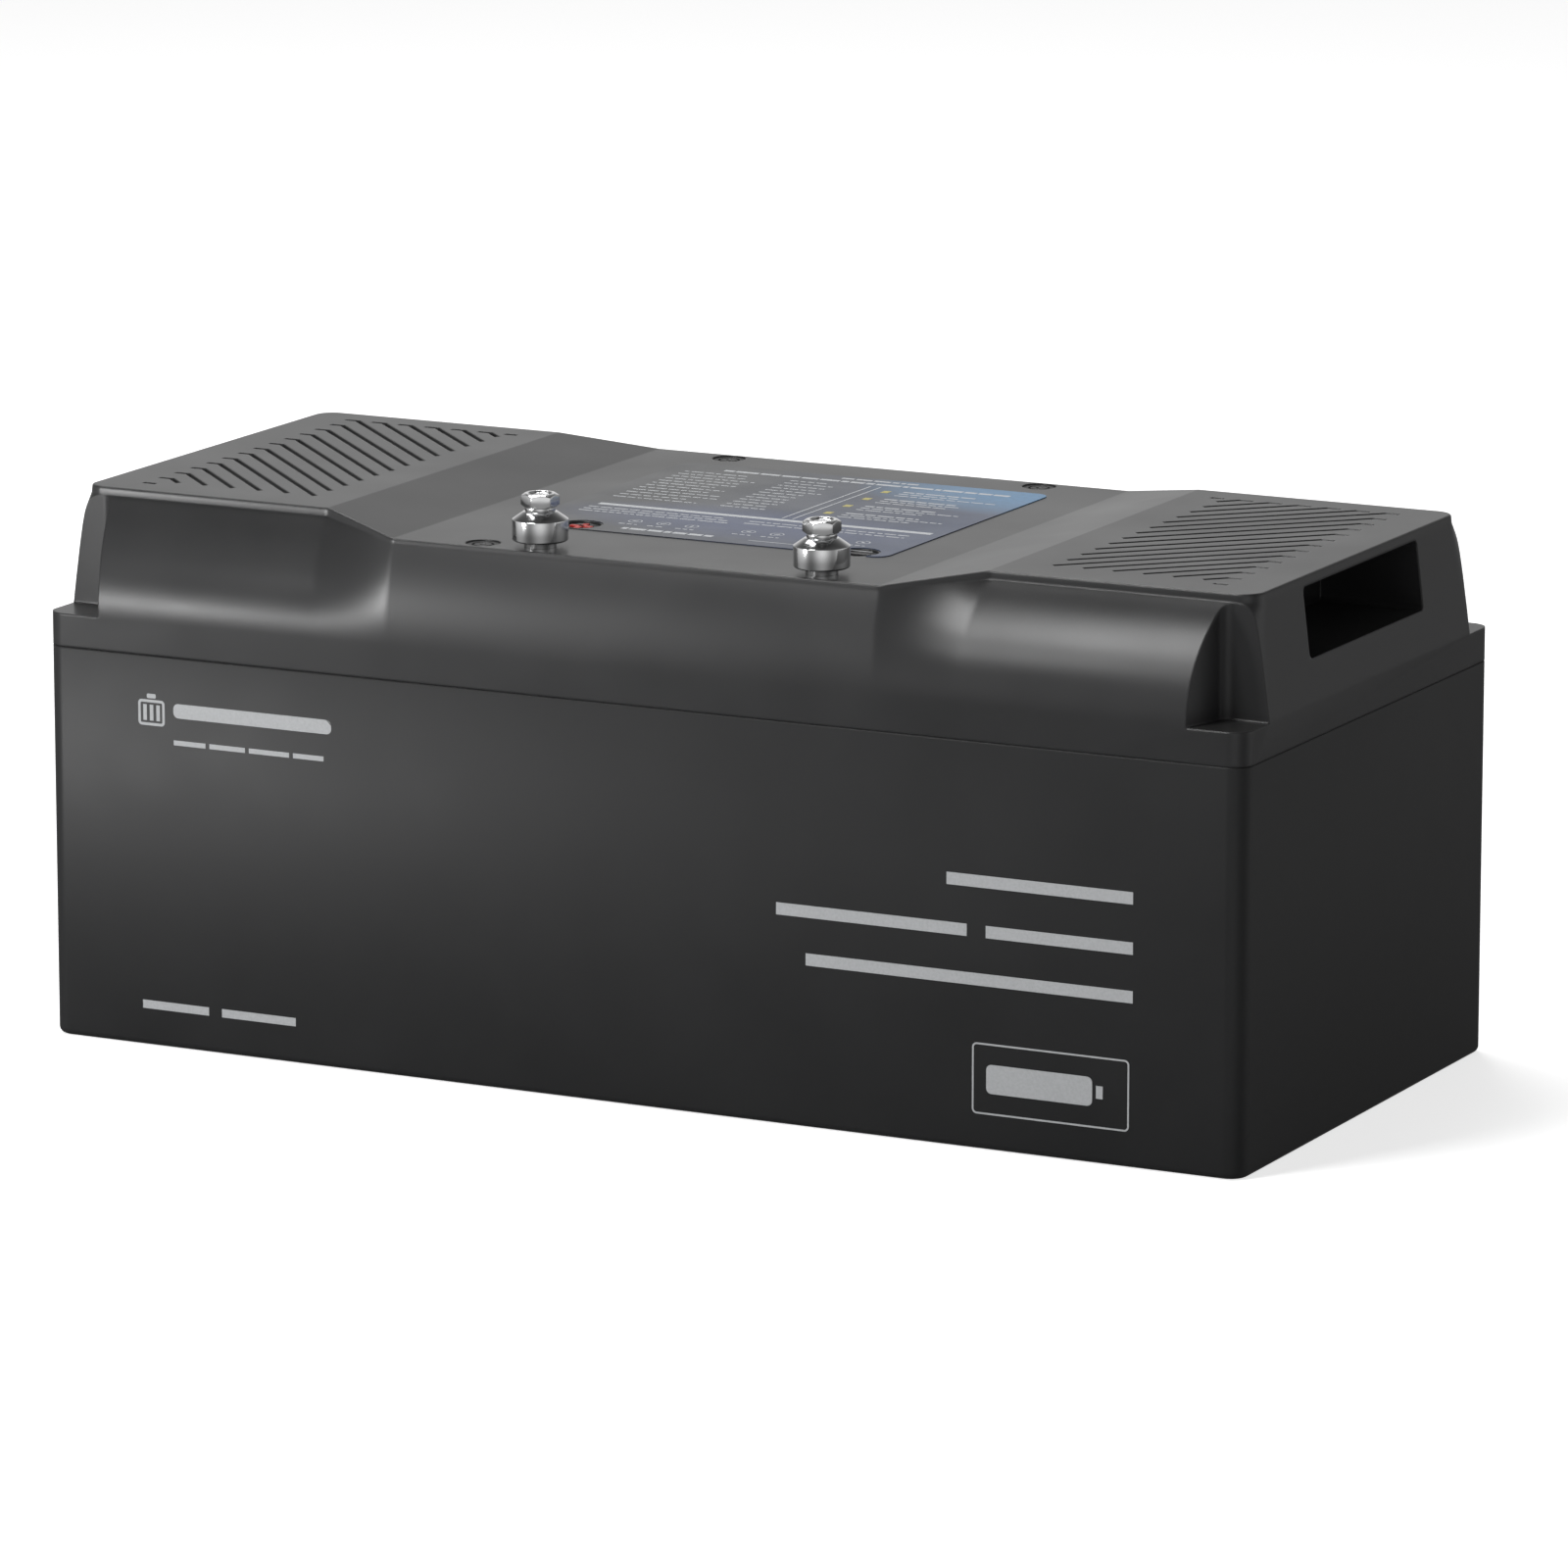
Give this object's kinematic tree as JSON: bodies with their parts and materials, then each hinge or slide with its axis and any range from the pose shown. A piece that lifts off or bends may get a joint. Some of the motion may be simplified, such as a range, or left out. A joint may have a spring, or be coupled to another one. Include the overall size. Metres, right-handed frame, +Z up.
{
  "type": "deep cycle battery",
  "caption": "Long rectangular deep cycle battery with a stepped vented lid, end handle pockets, corner cut-outs and two bolted terminals along the front edge.",
  "frame": {"origin": "middle of the base, on the surface that the battery stands on", "axes": "+X along the length, towards the negative terminal's end; +Y across the width, from the terminal side to the back; +Z up"},
  "size_m": [0.522, 0.236, 0.2351],
  "materials": {
    "case_plastic": "satin moulded black plastic",
    "lid_plastic": "satin to gloss moulded black plastic, finely grained on top",
    "seal_rubber": "matt",
    "steel": "zinc plated",
    "plug_plastic": "satin",
    "plated_terminal": "bright nickel plate",
    "plated_washer": "bright plate",
    "plated_bolt": "bright plate",
    "brass_nut": "plain",
    "red_insert": "gloss",
    "black_insert": "gloss",
    "label_film": "printed film, grey fading to blue",
    "foam": "closed cell foam",
    "cell_wrap": "blue shrink film over the can",
    "insulator": "laminate sheet",
    "end_plate_alloy": "milled",
    "copper_bar": "copper",
    "tray_plastic": "satin",
    "board_laminate": "solder mask",
    "sink_alloy": "extruded",
    "tinned_lug": "tinned",
    "red_cable": "silicone sheath",
    "black_cable": "silicone sheath",
    "yellow_wire": "thin wire sheath",
    "socket_plastic": "nylon",
    "probe_wire": "epoxy bead and lead"
  },
  "bodies": {
    "battery": {"case": "case_plastic", "lid": "lid_plastic", "lid_gasket": "seal_rubber", "lid_screws": "steel", "screw_plugs": "plug_plastic", "positive_post": "plated_terminal", "negative_post": "plated_terminal", "post_seals": "seal_rubber", "post_nuts": "brass_nut", "positive_mark": "red_insert", "negative_mark": "black_insert", "top_label": "label_film", "base_pad": "foam", "foam_front": "foam", "foam_back": "foam", "foam_left": "foam", "foam_right": "foam", "cell_1": "cell_wrap", "cell_2": "cell_wrap", "cell_3": "cell_wrap", "cell_4": "cell_wrap", "cell_5": "cell_wrap", "cell_6": "cell_wrap", "cell_7": "cell_wrap", "cell_8": "cell_wrap", "cell_spacers": "insulator", "end_plate_left": "end_plate_alloy", "end_plate_right": "end_plate_alloy", "pack_straps": "steel", "busbar_positive": "copper_bar", "busbar_link_1": "copper_bar", "busbar_link_2": "copper_bar", "busbar_link_3": "copper_bar", "busbar_negative": "copper_bar", "busbar_nuts": "steel", "board_tray": "tray_plastic", "board_screws": "steel", "control_board": "board_laminate", "heat_sink": "sink_alloy", "cable_lugs": "tinned_lug", "positive_cable": "red_cable", "cell_to_board_cable": "black_cable", "board_to_post_cable": "black_cable", "sense_harness": "yellow_wire", "sense_socket": "socket_plastic", "temperature_probe": "probe_wire"},
    "positive_washer": {"positive_washer": "plated_washer"},
    "positive_bolt": {"positive_bolt": "plated_bolt"},
    "negative_washer": {"negative_washer": "plated_washer"},
    "negative_bolt": {"negative_bolt": "plated_bolt"}
  },
  "joints": [
    {"name": "positive_bolt_lift", "type": "slide", "parent": "battery", "child": "positive_washer", "axis": [0, 0, 1], "range_m": [0, 0.0125]},
    {"name": "positive_bolt_turn", "type": "hinge", "parent": "positive_washer", "child": "positive_bolt", "pos_m": [-0.0466, -0.1005, 0.228], "axis": [0, 0, 1], "range_deg": [0, 3600]},
    {"name": "negative_bolt_lift", "type": "slide", "parent": "battery", "child": "negative_washer", "axis": [0, 0, 1], "range_m": [0, 0.0125]},
    {"name": "negative_bolt_turn", "type": "hinge", "parent": "negative_washer", "child": "negative_bolt", "pos_m": [0.0755, -0.1005, 0.228], "axis": [0, 0, 1], "range_deg": [0, 3600]}
  ],
  "couplings": [
    {"joint": "positive_bolt_turn", "follows": "positive_bolt_lift", "rad_per_m": 5026.5},
    {"joint": "negative_bolt_turn", "follows": "negative_bolt_lift", "rad_per_m": 5026.5}
  ]
}
